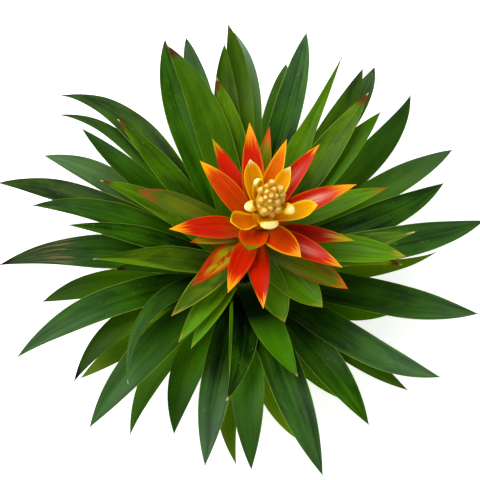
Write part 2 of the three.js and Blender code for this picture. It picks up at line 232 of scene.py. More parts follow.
RED_BRACTS = [
    (94, 85, 165, 205, 20, 1.9, "scarlet", "amber", "orange", 0.25, 0.25, 0),
    (118, 81, 162, 200, 17, 1.9, "scarlet", "fleck", "scarlet", 0.18, 0.1, 0),
    (135, 69, 166, 205, 20, 1.9, "vermilion", "amber", "orange", 0.2, 0.15, 0),
    (186, 75, 160, 190, 21, 1.9, "scarlet", "amber", "vermilion", 0.2, 0.12, 0),
    (226, 78, 152, 180, 20, 1.9, "mottled", "rust", "brick", 0.12, 0.2, 0),
    (250, 68, 156, 188, 20, 2, "scarlet", "amber", "vermilion", 0.25, 0.15, 0),
    (275, 77, 155, 184, 19, 2, "scarlet", "amber", "crimson", 0.12, 0.12, 0),
    (329, 85, 162, 195, 20, 2, "scarlet", "amber", "vermilion", 0.16, 0.12, 0.5),
    (348, 87, 154, 190, 17, 1.9, "crimson", "fleck", "brick", 0.25, 0.15, 0),
    (17, 89, 166, 208, 20, 1.9, "scarlet", "amber", "vermilion", 0.25, 0.15, 0.8),
    (49, 82, 168, 210, 18, 1.9, "scarlet", "amber", "vermilion", 0.12, 0.15, 0.3),
    (68, 67, 170, 221, 16, 1.8, "orange", "amber", "amber", 0.25, 0.3, 0),
    (314, 53, 168, 205, 22, 2.6, "vermilion", "amber", "amber", 0.2, 0.22, 0),
    (258, 31, 168, 200, 25, 4, "vermilion", "khaki", "orange", 0.2, 0.1, 0),
]
YELLOW_BRACTS = [
    (105, 36, 192, 240, 16, 2.6, "gold", "cream", "yellow", 0.13, 0.34, 0),
    (49, 36, 192, 243, 14, 2.6, "gold", "cream", "yellow", 0.16, 0.36, 0),
    (0, 47, 190, 226, 16, 2.6, "gold", "yellow", "yellow", 0.2, 0.3, 0),
    (205, 28, 189, 218, 19, 2.6, "apricot", "yellow", "yellow", 0.2, 0.28, 0),
]
CREAM_BRACTS = [
    (196, 15, 208, 230, 10, 2.6, "gold", "yellow", "yellow", 0.5, 0.3, 0),
    (334, 17, 209, 233, 10, 2.6, "gold", "yellow", "yellow", 0.5, 0.3, 0),
    (275, 19, 207, 226, 13, 2.6, "gold", "yellow", "yellow", 0.5, 0.3, 0),
    (135, 14, 212, 244, 8, 2.6, "gold", "yellow", "yellow", 0.5, 0.3, 0),
]

# Where along a bract its painted highlight is brightest, and how far it reaches from there.
PAINTED_HIGHLIGHT_PLACE = 0.62
PAINTED_HIGHLIGHT_REACH = 0.24

# Closed florets: direction and distance from the stalk's middle line, height of the middle, radius.
# Their relief is in shares of the radius, and its places are angles from their top in radians.
FLORETS = [
    (153, 8.4, 242, 4.1),
    (120, 7, 244, 3.4),
    (85, 9, 243, 4.3),
    (33, 8.5, 242, 4.6),
    (6, 8.5, 240, 4.1),
    (166, 3.4, 245.5, 3.4),
    (263, 1.8, 245.5, 3.4),
    (59, 3.5, 245, 3.3),
    (336, 3.6, 244, 3.2),
    (207, 7.6, 240, 4.3),
    (214, 5, 244, 3.1),
    (259, 5, 243, 3.2),
    (314, 7, 240, 4.2),
    (347, 9.6, 237, 3.3),
    (250, 10.4, 234, 4.8),
    (273, 8.8, 238, 3.3),
    (307, 11, 235, 3.8),
    (284, 10.9, 229, 3.9),
    (220, 9, 233, 3.4),
]
BUD_SEGMENTS = 32
BUD_RINGS = 24
FLORET_LEAN = 18
FLORET_STRETCH = 1.9
SEPALS = 3
SEPAL_SWELL = 0.09
CROWN_RISE = 0.05
CROWN_ANGLE = 0.4
CROWN_SPREAD = 0.2
DIMPLE_DEPTH = 0.07
DIMPLE_ANGLE = 0.15

# The hooded tips of the cream bracts, hollow on the side of the stalk: direction, distance, height,
# and half sizes outward, sideways and up.
HOODS = [
    (135, 14.6, 243, 4.2, 4, 4.6),
    (196, 13.6, 229, 7, 4.8, 4.8),
    (334, 17, 232, 6.6, 5, 4.8),
    (275, 18, 225.5, 4.8, 8, 5),
]
HOOD_HOLLOW = 0.68

# Colours, as seen on a screen.
COLOURS = {
    "leaf_dark": "#0a2202",
    "leaf_light": "#5aa204",
    "leaf_yellow": "#86a60a",
    "margin": "#88a834",
    "fold": "#66900a",
    # Grey bloom and painted sheen on the leaves' outer parts.
    "bloom": "#76947a",
    "scuff": "#a08860",
    "sheath": "#5c6a24",
    # The dark tone of the leaves' painted shade, and of their darker tips.
    "deep": "#283620",
    "leaf": "#487806",
    "fresh": "#4c8006",
    "moss": "#304e04",
    "lime": "#788c08",
    "grass": "#3c5c08",
    "olive": "#3e5a08",
    "khaki": "#5a7008",
    "fleck": "#9a8c0c",
    "rust": "#8a3c08",
    "russet": "#7c3e14",
    "scarlet": "#b81c00",
    "vermilion": "#c43c00",
    "crimson": "#981602",
    "brick": "#982a00",
    "mottled": "#a42804",
    "copper": "#bc5e04",
    "apricot": "#d07a06",
    "orange": "#c86000",
    "amber": "#e89808",
    # Darkens the bracts' streaks, and their feet as painted shade.
    "streak_and_shade_tint": "#dcc0c0",
    # The bracts' painted highlight.
    "highlight_pink": "#eeb09c",
    "gold": "#d8a004",
    "yellow": "#e8c010",
    "cream": "#ece494",
    "straw": "#948824",
    "honey": "#d8ac08",
    "ochre": "#b88404",
    "tan": "#e0b860",
    "umber": "#a06c08",
    "dark": "#140e04",
    "brown": "#402410",
    "red": "#58300e",
    "pale": "#a09850",
    "green": "#2c4c06",
}

# The stage, in metres. The floor gives off a little light of its own, so that it stays pale.
FLOOR_HALF_SIZE = 15
FLOOR_GLOW = 0.52

# The camera looks down steeply from the front. Its frame is square.
CAMERA_ELEVATION = 72
CAMERA_DISTANCE = 1.1
CAMERA_TARGET = (-0.003, 0.015, 0.1)
FRAME_AT_TARGET = 0.4512
SENSOR_WIDTH = 36

# A square soft light on the side that KEY_TOWARDS points to, aimed at the plant's middle.
KEY_TOWARDS = (-0.45, 0.3, 0.85)
KEY_AIM = (0, 0, 0.1)
KEY_DISTANCE = 1.5
KEY_SIZE = 0.9
KEY_POWER = 22

# The ring of light round RING_MIDDLE: cosines of the angle to it, each with its brightness.
RING_MIDDLE = (0, 0.31, 0.95)
RING_LEVELS = ((0, 0.35), (0.3, 0.35), (0.45, 1), (0.65, 1), (0.85, 0.3), (1, 0.1))
RING_STRENGTH = 1.3

# The horizon is as pale as the floor, so a low view shows no edge between them. It fades between
# these heights of a direction.
HORIZON_TOP = 0.14
HORIZON_FADED = 0.24

# A Mix node's colour sockets, which share their names with its other sockets.
MIX_FIRST = 6
MIX_SECOND = 7
MIX_RESULT = 2

stem_low, stem_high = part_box("stem_base")
AXIS = (stem_low + stem_high) / 2
AXIS.z = 0


def linear(name):
    """A named colour as linear red, green and blue."""
    code = COLOURS[name].lstrip("#")
    shares = [int(code[i:i + 2], 16) / 255 for i in (0, 2, 4)]
    return np.array([c / 12.92 if c <= 0.04045 else ((c + 0.055) / 1.055) ** 2.4 for c in shares])


def smooth(low, high, x):
    """0 below low, 1 above high and an S between them."""
    t = np.clip((x - low) / (high - low), 0, 1)
    return t * t * (3 - 2 * t)


def directions(azimuth):
    """Level unit vectors at an azimuth in degrees: outward and sideways."""
    a = math.radians(azimuth)
    return np.array([math.cos(a), math.sin(a), 0]), np.array([-math.sin(a), math.cos(a), 0])


def half_width(u, width, widest, neck_share, power):
    """Half the width of a blade at a share u of its length."""
    rise = min(u / widest, 1)
    neck = neck_share + (1 - neck_share) * rise * rise * (3 - 2 * rise)
    fall = max((u - widest) / (1 - widest), 0)
    return max(width / 2 * neck * (1 - fall ** power), TIP_HALF_WIDTH)


def lens(v):
    """The share of its middle thickness that a blade has at v across."""
    return (1 - v * v) ** 0.5


def make_blade(rows, columns, point):
    """Points and faces of a closed thin blade, and where each point lies: its share of the length,
    its share across and its face. point(t, v, face) gives a point in millimetres."""
    points = []
    places = []
    spread = np.sin(np.linspace(-math.pi / 2, math.pi / 2, columns))
    across = 0.5 * (spread + np.linspace(-1, 1, columns))
    for i in range(rows):
        # Rows come closer together towards the tip, where the outline turns most.
        t = 1 - (1 - i / (rows - 1)) ** ROW_CROWDING
        for face, order in ((1, across), (-1, across[::-1])):
            for v in order:
                points.append(point(t, v, face))
                places.append((t, v, face))
    ring = 2 * columns
    faces = []
    for i in range(rows - 1):
        for j in range(ring):
            k = (j + 1) % ring
            faces.append((i * ring + j, i * ring + k, (i + 1) * ring + k, (i + 1) * ring + j))
    last = (rows - 1) * ring
    for j in range(columns - 1):
        k = ring - 1 - j
        faces.append((j, k, k - 1, j + 1))
        faces.append((last + j, last + j + 1, last + k - 1, last + k))
    return points, faces, places


def make_tube(count, sides, point):
    """Points and faces of a closed stack of rings. point(k, turn) gives a point of ring k."""
    points = [point(k, 2 * math.pi * i / sides) for k in range(count) for i in range(sides)]
    faces = []
    for k in range(count - 1):
        for i in range(sides):
            a = k * sides + i
            b = k * sides + (i + 1) % sides
            faces.append((a, b, b + sides, a + sides))
    faces.append(tuple(reversed(range(sides))))
    faces.append(tuple(range(len(points) - sides, len(points))))
    return points, faces


def whorl_profile(whorl):
    """The line that a whorl's leaves follow, as rows of radius, height and pitch, and its bend."""
    sheath_radius = SHEATH_OUTER_RADIUS - whorl * WHORL_STEP
    side = (STEM_TOP - STEM_FOOT) / (STEM_RADIUS - STEM_TOP_RADIUS)
    bend = BEND_LENGTH + whorl * BEND_LENGTH_STEP
    pitch = math.radians(PITCH + whorl * PITCH_STEP)
    droop = math.radians(DROOP_PER_MM)
    r = sheath_radius
    z = STEM_FOOT + (STEM_RADIUS - sheath_radius + SHEATH_THICKNESS / 2) * side + 2 * GAP
    line = []
    for s in range(PROFILE_LENGTH + 1):
        bent = min(s / bend, 1)
        turn = bent * bent * (3 - 2 * bent)
        angle = math.pi / 2 - (math.pi / 2 - pitch) * turn - droop * max(s - bend, 0)
        line.append((r, z, angle))
        r += math.cos(angle)
        z += math.sin(angle)
    return np.array(line), bend


def leaf_shape(row, chance):
    """Points, faces and places of one leaf, its length, and the share of it that its bend takes."""
    azimuth, reach, whorl, width, bow, blunt = row[:6]
    roll = math.radians(chance.uniform(-MOST_ROLL, MOST_ROLL))
    phase = chance.uniform(0, 2 * math.pi)
    line, bend = whorl_profile(whorl)
    length = int(np.argmax(line[:, 0] >= reach))
    steps = np.arange(len(line))

    def point(t, v, face):
        s = t * length
        r, z, angle = (float(np.interp(s, steps, line[:, i])) for i in range(3))
        half = min(half_width(t, width, WIDEST_AT, NECK_SHARE, blunt), SHEATH_HALF_ANGLE * r)
        base = 1 - smooth(0.2 * bend, 0.8 * bend, s)
        half += (BASE_HALF_ANGLE * r - half) * base
        # The bow is greatest at two thirds of the length, where t * t * (1 - t) is 4 / 27.
        sideways = bow * 27 / 4 * t * t * (1 - t)
        opened = min(max((s - bend) / CHANNEL_OPENS, 0), 1)
        crease = (v * v + CREASE_SOFTNESS ** 2) ** 0.5 - CREASE_SOFTNESS
        section = (1 - CREASE_SHARE) * v * v + CREASE_SHARE * crease
        lift = CHANNEL * opened * half * section
        lift += math.tan(roll) * v * half * smooth(0.2, 0.6, t)
        wave = math.sin(2 * math.pi * s / WAVE_LENGTH + phase + v)
        lift += WAVE_HEIGHT * wave * abs(v) ** 3 * opened * (1 - smooth(0.8, 1, t))
        lift += BASE_OVERLAP * v * base
        middle = SHEATH_THICKNESS + (BLADE_THICKNESS - SHEATH_THICKNESS) * opened
        thinned = 1 - TIP_THINNING * smooth(0.7, 1, t)
        thick = EDGE_THICKNESS + (middle - EDGE_THICKNESS) * lens(v) * thinned
        lift += face * thick / 2
        a = math.radians(azimuth) + (sideways + v * half) / r
        radius = r - lift * math.sin(angle)
        return (radius * math.cos(a), radius * math.sin(a), z + lift * math.cos(angle))

    return make_blade(LEAF_ROWS, LEAF_COLUMNS, point), length, bend / length


def stalk_axis(height):
    """A point of the stalk's middle line."""
    lean = (max(height - STEM_TOP, 0) / LEAN_RISE) ** LEAN_POWER
    return np.array([LEAN_X * lean, LEAN_Y * lean, height])


def bract_shape(row, shape):
    """Points, faces and places of one bract."""
    azimuth, reach, foot, tip, width, blunt = row[:6]
    start = stalk_axis(foot)
    out, side = directions(azimuth)
    up_axis = np.array([0, 0, 1])
    rise = tip - foot

    def point(t, v, face):
        ahead = reach * (2 * t * (1 - t) * shape["ahead"] + t * t)
        up = rise * (2 * t * (1 - t) * shape["up"] + t * t)
        slope = math.atan2(
            rise * ((1 - 2 * t) * shape["up"] + t),
            reach * ((1 - 2 * t) * shape["ahead"] + t),
        )
        half = half_width(t, width, shape["widest"], BRACT_NECK, blunt)
        thick = EDGE_THICKNESS + (BRACT_THICKNESS - EDGE_THICKNESS) * lens(v)
        lift = shape["cup"] * v * v * half + face * thick / 2
        return (
            start
            + out * (ahead - lift * math.sin(slope))
            + side * (v * half)
            + up_axis * (up + lift * math.cos(slope))
        )

    return make_blade(BRACT_ROWS, BRACT_COLUMNS, point)


def core_shape(rings):
    """Points and faces of a core along the stalk's middle line, smooth between its rings."""
    heights = np.arange(rings[0][0], rings[-1][0], CORE_STEP).tolist() + [rings[-1][0]]
    radii = np.interp(heights, [h for h, _ in rings], [r for _, r in rings])

    def point(k, turn):
        return stalk_axis(heights[k]) + radii[k] * np.array([math.cos(turn), math.sin(turn), 0])

    return make_tube(len(heights), CORE_SIDES, point)


def round_shape(azimuth, distance, height, offset):
    """Points and faces of a round form beside the stalk's middle line, and where each point lies.
    offset(polar, turn) gives a point of it from its middle: outward, sideways and up."""
    out, side = directions(azimuth)
    middle = stalk_axis(height) + distance * out
    points = []
    places = []
    for i in range(BUD_RINGS + 1):
        polar = math.pi * i / BUD_RINGS
        count = 1 if i in (0, BUD_RINGS) else BUD_SEGMENTS
        for j in range(count):
            turn = 2 * math.pi * j / BUD_SEGMENTS
            x, y, z = offset(polar, turn)
            points.append(middle + out * x + side * y + np.array([0, 0, z]))
            places.append((polar, turn))
    faces = []
    last = len(points) - 1
    for j in range(BUD_SEGMENTS):
        k = (j + 1) % BUD_SEGMENTS
        faces.append((0, 1 + j, 1 + k))
        for i in range(BUD_RINGS - 2):
            near = 1 + i * BUD_SEGMENTS
            far = near + BUD_SEGMENTS
            faces.append((near + j, far + j, far + k, near + k))
        near = last - BUD_SEGMENTS
        faces.append((near + j, last, near + k))
    return points, faces, np.array(places)


def floret_shape(row, chance):
    """A closed floret: three sepals wrap it, and their ends ring the dimple in its top."""
    azimuth, distance, height, radius = row
    phase = chance.uniform(0, 2 * math.pi)
    lean = math.radians(FLORET_LEAN)

    def offset(polar, turn):
        lobes = SEPAL_SWELL * math.cos(SEPALS * (turn + phase)) * math.sin(polar)
        crown = CROWN_RISE * math.exp(-((polar - CROWN_ANGLE) / CROWN_SPREAD) ** 2)
        dimple = DIMPLE_DEPTH * math.exp(-(polar / DIMPLE_ANGLE) ** 2)
        r = radius * (1 + lobes + crown - dimple)
        x = r * math.sin(polar) * math.cos(turn)
        y = r * math.sin(polar) * math.sin(turn)
        z = r * math.cos(polar)
        if z < 0:
            z *= FLORET_STRETCH
        # It leans outward, away from the stalk's middle line.
        return x * math.cos(lean) + z * math.sin(lean), y, z * math.cos(lean) - x * math.sin(lean)

    return round_shape(azimuth, distance, height, offset)


def hollow(polar, turn):
    """How deep in a hood's hollow a direction lies: 0 outside it, 1 at its bottom."""
    return smooth(0.35, 0.9, 0.4 * np.cos(polar) - 0.92 * np.sin(polar) * np.cos(turn))


def hood_shape(row):
    """The fleshy hooded tip of a cream bract, with a hollow that faces the florets."""
    azimuth, distance, height, outward, sideways, up = row

    def offset(polar, turn):
        r = 1 - HOOD_HOLLOW * float(hollow(polar, turn))
        x = r * math.sin(polar) * math.cos(turn) * outward
        y = r * math.sin(polar) * math.sin(turn) * sideways
        return x, y, r * math.cos(polar) * up

    return round_shape(azimuth, distance, height, offset)


def add_object(name, data):
    """A new object in the scene."""
    thing = bpy.data.objects.new(name, data)
    bpy.context.scene.collection.objects.link(thing)
    return thing


def even(count, **values):
    """The same number or named colour at each point of a shape."""
    rows = {}
    for name, value in values.items():
        if isinstance(value, str):
            rows[name] = np.tile(linear(value), (count, 1))
        else:
            rows[name] = np.full(count, float(value))
    return rows


class Piece:
    """Collects shapes and the values at their points, and turns them into one object."""

    def __init__(self):
        self.points = []
        self.faces = []
        self.values = {}

    def add(self, points, faces, **values):
        start = len(self.points)
        self.points += [tuple(p) for p in points]
        self.faces += [tuple(start + i for i in face) for face in faces]
        for name, rows in values.items():
            self.values.setdefault(name, []).extend(rows)

    def build(self, name, material, slot, node):
        mesh = bpy.data.meshes.new(name)
        mesh.from_pydata([AXIS + Vector(p) * MM for p in self.points], [], self.faces)
        for key, rows in self.values.items():
            flat = np.array(rows, np.float32)
            kind, field = ("FLOAT", "value") if flat.ndim == 1 else ("FLOAT_VECTOR", "vector")
            mesh.attributes.new(key, kind, "POINT").data.foreach_set(field, flat.ravel())
        mesh.materials.append(material)
        mesh.shade_smooth()
        mesh.set_sharp_from_angle(angle=math.radians(SHARP_ANGLE))
        piece = add_object(name, mesh)
        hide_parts(node)
        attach(piece, BODY)
        return piece


class Nodes:
    """A material whose node tree is written as a formula. Each call adds nodes and returns an
    output, and takes outputs, numbers or names of colours."""

    def __init__(self, name):
        self.material = bpy.data.materials.new(name)
        self.material.use_nodes = True
        self.tree = self.material.node_tree
        self.shader = self.tree.nodes["Principled BSDF"]

    def feed(self, socket, value):
        if isinstance(value, bpy.types.NodeSocket):
            self.tree.links.new(value, socket)
        elif isinstance(value, str):
            socket.default_value = (*linear(value), 1)
        else:
            socket.default_value = value

    def attribute(self, name, output):
        node = self.tree.nodes.new("ShaderNodeAttribute")
        node.attribute_name = name
        return node.outputs[output]

    def number(self, name):
        return self.attribute(name, "Fac")

    def vector(self, name):
        return self.attribute(name, "Vector")

    def colour(self, name):
        return self.attribute(name, "Color")

    def maths(self, operation, a, b=0.0, clamp=False):
        node = self.tree.nodes.new("ShaderNodeMath")
        node.operation = operation
        node.use_clamp = clamp
        self.feed(node.inputs[0], a)
        self.feed(node.inputs[1], b)
        return node.outputs[0]

    def absolute(self, value):
        return self.maths("ABSOLUTE", value)

    def product(self, a, b):
        return self.maths("MULTIPLY", a, b)

    def difference(self, a, b):
        return self.maths("SUBTRACT", a, b)

    def scaled(self, vector, x, y, z):
        node = self.tree.nodes.new("ShaderNodeVectorMath")
        node.operation = "MULTIPLY"
        self.feed(node.inputs[0], vector)
        node.inputs[1].default_value = (x, y, z)
        return node.outputs[0]

    def noise(self, vector, scale, detail, distortion=0.0):
        node = self.tree.nodes.new("ShaderNodeTexNoise")
        self.feed(node.inputs["Vector"], vector)
        node.inputs["Scale"].default_value = scale
        node.inputs["Detail"].default_value = detail
        node.inputs["Distortion"].default_value = distortion
        return node.outputs["Fac"]

    def remap(self, value, low, high, to_low=0.0, to_high=1.0, stepped="SMOOTHSTEP"):
        node = self.tree.nodes.new("ShaderNodeMapRange")
        node.interpolation_type = stepped
        self.feed(node.inputs["Value"], value)
        node.inputs["From Min"].default_value = low
        node.inputs["From Max"].default_value = high
        node.inputs["To Min"].default_value = to_low
        node.inputs["To Max"].default_value = to_high
        return node.outputs["Result"]

    def jittered(self, value, noise, reach, clamp=False):
        """The value, moved down or up by at most reach as the noise says."""
        moved = self.remap(noise, 0.3, 0.7, -reach, reach, "LINEAR")
        return self.maths("ADD", value, moved, clamp)

    def mix(self, share, a, b, blend="MIX"):
        node = self.tree.nodes.new("ShaderNodeMix")
        node.data_type = "RGBA"
        node.blend_type = blend
        self.feed(node.inputs["Factor"], share)
        self.feed(node.inputs[MIX_FIRST], a)
        self.feed(node.inputs[MIX_SECOND], b)
        return node.outputs[MIX_RESULT]

    def bump(self, height, strength, distance):
        node = self.tree.nodes.new("ShaderNodeBump")
        node.inputs["Strength"].default_value = strength
        node.inputs["Distance"].default_value = distance
        self.feed(node.inputs["Height"], height)
        self.feed(self.shader.inputs["Normal"], node.outputs["Normal"])

    def set(self, **values):
        """Feeds the shader's own sockets, and returns the finished material."""
        for name, value in values.items():
            self.feed(self.shader.inputs[name.replace("_", " ")], value)
        return self.material


def leaf_material():
    """Glossy leaf: fine parallel veins, soft blotches, a thin light margin and a coloured tip."""
    m = Nodes("leaf_blade")
    along = m.number("along")
    across = m.absolute(m.number("across"))
    grain = m.vector("grain")
    veins = m.noise(m.scaled(grain, 14, 900, 1), 1, 3)
    bands = m.noise(m.scaled(grain, 8, 160, 1), 1, 2)
    blotches = m.noise(m.scaled(grain, 26, 60, 1), 1, 3, 0.4)
    flecks = m.noise(m.scaled(grain, 260, 420, 1), 1, 1)
    scratches = m.noise(m.scaled(grain, 24, 480, 1), 1, 2)

    tone = m.jittered(m.jittered(m.number("tone"), bands, 0.1), blotches, 0.12, clamp=True)
    base = m.mix(tone, "leaf_dark", "leaf_light")
    yellowed = m.product(m.number("yellowness"), m.remap(blotches, 0.25, 0.75, 0.3, 1))
    base = m.mix(yellowed, base, "leaf_yellow")
    darker = m.mix(0.5, base, "leaf_dark", "MULTIPLY")
    base = m.mix(m.remap(veins, 0.35, 0.65, 0, 0.35), base, darker)
    # Grey bloom and painted sheen on the outer part.
    bloomed = m.product(m.number("bloom"), m.remap(bands, 0.3, 0.7, 0.6, 1.2))
    base = m.mix(bloomed, base, "bloom")
    base = m.mix(m.remap(across, 0.94, 0.99, 0, 0.65), base, "margin")
    base = m.mix(m.product(m.number("fold"), 0.8), base, "fold")
    base = m.mix(m.remap(across, 0, 0.06, 0.14, 0), base, "leaf_light")
    base = m.mix(m.remap(flecks, 0.71, 0.76, 0, 0.25), base, "pale")
    scuffed = m.product(m.number("scuff"), m.remap(scratches, 0.56, 0.62, 0, 0.8))
    base = m.mix(scuffed, base, "scuff")

    # The tip, with a pale point on the inner leaves, then painted shade towards the plant's middle
    # and a darker tip, and the dry foot.
    end = m.difference(m.jittered(along, blotches, 0.02), m.number("tip_start"))
    base = m.mix(m.remap(end, 0, 0.035), base, m.colour("tip_colour"))
    point = m.product(m.number("point"), m.remap(along, 0.982, 0.994))
    base = m.mix(point, base, "cream")
    # Painted shade towards the plant's middle, and darker towards the tip.
    base = m.mix(m.number("depth"), base, m.mix(1, base, "deep", "MULTIPLY"))
    base = m.mix(m.product(m.number("sheath"), 0.75), base, "sheath")
    base = m.mix(m.product(m.number("below"), 0.35), base, "sheath")
    dry = m.jittered(along, veins, 0.03)
    base = m.mix(m.remap(dry, 0.01, 0.07, 0.8, 0), base, "brown")

    m.bump(m.maths("ADD", veins, m.product(bands, 3)), 0.35, 0.0005)
    rough = m.remap(blotches, 0.25, 0.75, 0.3, 0.42)
    return m.set(Base_Color=base, Roughness=rough, Specular_IOR_Level=0.04)


def bract_material(name, foot, streaking, roughness, glow):
    """Waxy bract: fine streaks, and a body colour that runs into those of its tip and edge."""
    m = Nodes(name)
    along = m.number("along")
    across = m.absolute(m.number("across"))
    grain = m.vector("grain")
    streaks = m.noise(m.scaled(grain, 22, 420, 1), 1, 4)
    blotches = m.noise(m.scaled(grain, 60, 110, 1), 1, 3, 0.3)
    mottling = m.noise(m.scaled(grain, 50, 120, 1), 1, 4, 0.8)

    body = m.colour("body_colour")
    # A darker body, for the streaks and for painted shade towards the foot.
    deep = m.mix(1, body, "streak_and_shade_tint", "MULTIPLY")
    base = m.mix(m.remap(along, 0.1, 0.5, 0.7, 0), body, deep)
    base = m.mix(m.remap(along, 0.1, 0.55, 0.55, 0), base, foot)
    base = m.mix(m.remap(streaks, 0.42, 0.65, 0, streaking), base, deep)
    base = m.mix(m.remap(blotches, 0.55, 0.75, 0, 0.25), base, m.colour("rim_colour"))

    # The rim and the tip fade in over their own shares of the width and the length.
    inward = m.difference(1.0, m.jittered(across, streaks, 0.1))
    rim = m.maths("DIVIDE", inward, m.number("rim"))
    base = m.mix(m.remap(rim, 0.1, 1.0, 1, 0), base, m.colour("rim_colour"))
    downward = m.difference(1.0, m.jittered(along, streaks, 0.08))
    end = m.maths("DIVIDE", downward, m.number("tip_length"))
    base = m.mix(m.remap(end, 0.2, 1.0, 1, 0), base, m.colour("tip_colour"))

    inner = m.product(m.remap(across, 0.45, 0.95, 1, 0), m.remap(along, 0.88, 0.7))
    patches = m.product(m.number("mottle"), m.remap(mottling, 0.36, 0.52))
    base = m.mix(m.product(patches, inner), base, "fleck")
    # A painted highlight across the middle, broken up by the streaks.
    away = m.absolute(m.difference(along, PAINTED_HIGHLIGHT_PLACE))
    gleam = m.product(m.remap(away, 0, PAINTED_HIGHLIGHT_REACH, 1, 0), m.remap(across, 0, 0.6, 1, 0))
    gleam = m.product(gleam, m.remap(streaks, 0.35, 0.6, 0.3, 1))
    base = m.mix(m.product(gleam, m.number("gleam")), base, "highlight_pink")

    m.bump(streaks, 0.5, 0.0006)
    return m.set(
        Base_Color=base,
        Roughness=m.remap(streaks, 0.3, 0.7, roughness - 0.06, roughness + 0.12),
        Specular_IOR_Level=0.07,
        Subsurface_Weight=glow,
        Subsurface_Radius=(0.004, 0.002, 0.0006),
        Subsurface_Scale=1,
    )


def bud_material():
    """Pale waxy floret or hood: its body colour below runs into its tip's colour on the crown."""
    m = Nodes("bud_wax")
    grain = m.vector("grain")
    grains = m.noise(grain, 700, 3)
    soft = m.noise(grain, 260, 2)
    lifted = m.jittered(m.number("along"), soft, 0.12)
    base = m.mix(m.remap(lifted, 0, 0.45), m.colour("rim_colour"), m.colour("body_colour"))
    base = m.mix(m.remap(lifted, 0.45, 0.9), base, m.colour("tip_colour"))
    # The palest top is partly the crown's own cream and partly a painted highlight.
    base = m.mix(m.remap(lifted, 0.86, 1.0, 0, 0.6), base, "cream")
    base = m.mix(m.remap(grains, 0.55, 0.7, 0, 0.3), base, "ochre")
    m.bump(grains, 0.35, 0.0004)
    return m.set(
        Base_Color=base,
        Roughness=m.remap(soft, 0.3, 0.7, 0.25, 0.4),
        Specular_IOR_Level=0.3,
        Subsurface_Weight=0.7,
        Subsurface_Radius=(0.004, 0.0026, 0.0007),
        Subsurface_Scale=1,
    )


def stem_material():
    """Cut stem: brown scars and fibres outside, a pale pith with darker strands on the cut."""
    m = Nodes("stem_bark")
    grain = m.vector("grain")
    rings = m.noise(m.scaled(grain, 60, 60, 900), 1, 4)
    strands = m.noise(m.scaled(grain, 900, 900, 60), 1, 3)
    bark = m.mix(m.remap(rings, 0.35, 0.65), "brown", "sheath")
    pith = m.mix(m.remap(strands, 0.45, 0.62), "cream", "straw")
    base = m.mix(m.number("cut"), bark, pith)
    m.bump(m.maths("ADD", rings, strands), 0.6, 0.0008)
    return m.set(Base_Color=base, Roughness=m.remap(strands, 0.3, 0.7, 0.65, 0.9))


def build_leaves():
    """One piece to a leaf, each over its own node."""
    material = leaf_material()
    chance = random.Random(LEAF_SEED)
    for number, row in enumerate(LEAVES, 1):
        whorl, width = row[2:4]
        tone, yellowness, inward_painted_shade, outer_dark, bloom, tip = row[6:]
        (points, faces, places), length, bend = leaf_shape(row, chance)
        t, v, face = np.array(places).T
        seed = np.full(len(t), chance.uniform(0, 50))
        scuff = smooth(0.68, 0.76, t) * (1 - smooth(0.9, 0.94, t))
        fold = smooth(-0.12, 0.12, v - 0.86 + 0.9 * smooth(0.55, 0.95, t))
        # Painted shade towards the plant's middle.
        inner_shade = np.minimum(inward_painted_shade * (1 - smooth(0.35, 0.8, t)), 1)
        piece = Piece()
        piece.add(
            points,
            faces,
            along=t,
            across=v,
            below=(face < 0).astype(float),
            grain=np.stack([t * length * MM, v * width / 2 * MM, seed], 1),
            sheath=1 - smooth(0.2 * bend, 0.9 * bend, t),
            # Painted shade towards the plant's middle, and darker towards the tip.
            depth=inner_shade + outer_dark * smooth(0.35, 0.9, t),
            # Grey bloom and painted sheen on the outer part.
            bloom=bloom * smooth(0.45, 0.95, t),
            scuff=scuff * (number == SCUFFED_LEAF),
            fold=fold * (number == FOLDED_LEAF),
            **even(
                len(t),
                tone=tone,
                yellowness=yellowness,
                tip_start=TIP_STARTS[tip],
                point=0.5 if whorl >= FIRST_POINTED_WHORL else 0,
                tip_colour=tip,
            ),
        )
        slot = "inner_leaf" if number >= FIRST_INNER_LEAF else "leaf"
        piece.build(f"leaf_{number:02d}_blade", material, slot, f"leaf_{number:02d}")


def add_bracts(piece, rows, shape, chance):
    """Adds the bracts of a table, each with its own grain."""
    for row in rows:
        points, faces, places = bract_shape(row, shape)
        t, v, _ = np.array(places).T
        reach, width = row[1], row[4]
        # The last column gives the strength of the painted highlight.
        body, tip, rim_colour, tip_length, rim, gleam = row[6:]
        seed = np.full(len(t), chance.uniform(0, 50))
        piece.add(
            points,
            faces,
            along=t,
            across=v,
            grain=np.stack([t * reach * MM, v * width / 2 * MM, seed], 1),
            **even(
                len(t),
                body_colour=body,
                tip_colour=tip,
                rim_colour=rim_colour,
                tip_length=tip_length,
                rim=rim,
                mottle=MOTTLED_BODIES.get(body, 0),
                gleam=gleam,
            ),
        )


def add_core(piece, rings, colour):
    """Adds a stretch of the stalk in one colour."""
    points, faces = core_shape(rings)
    x, y, heights = np.array(points).T
    turns = np.arctan2(y, x)
    zeros = np.zeros(len(points))
    piece.add(
        points,
        faces,
        grain=np.stack([heights * MM, turns * CORE_GRAIN_RADIUS * MM, zeros], 1),
        **even(
            len(points),
            along=0,
            across=0,
            body_colour=colour,
            tip_colour=colour,
            rim_colour=colour,
            tip_length=0.1,
            rim=0.1,
            mottle=0,
            gleam=0,
        ),
    )


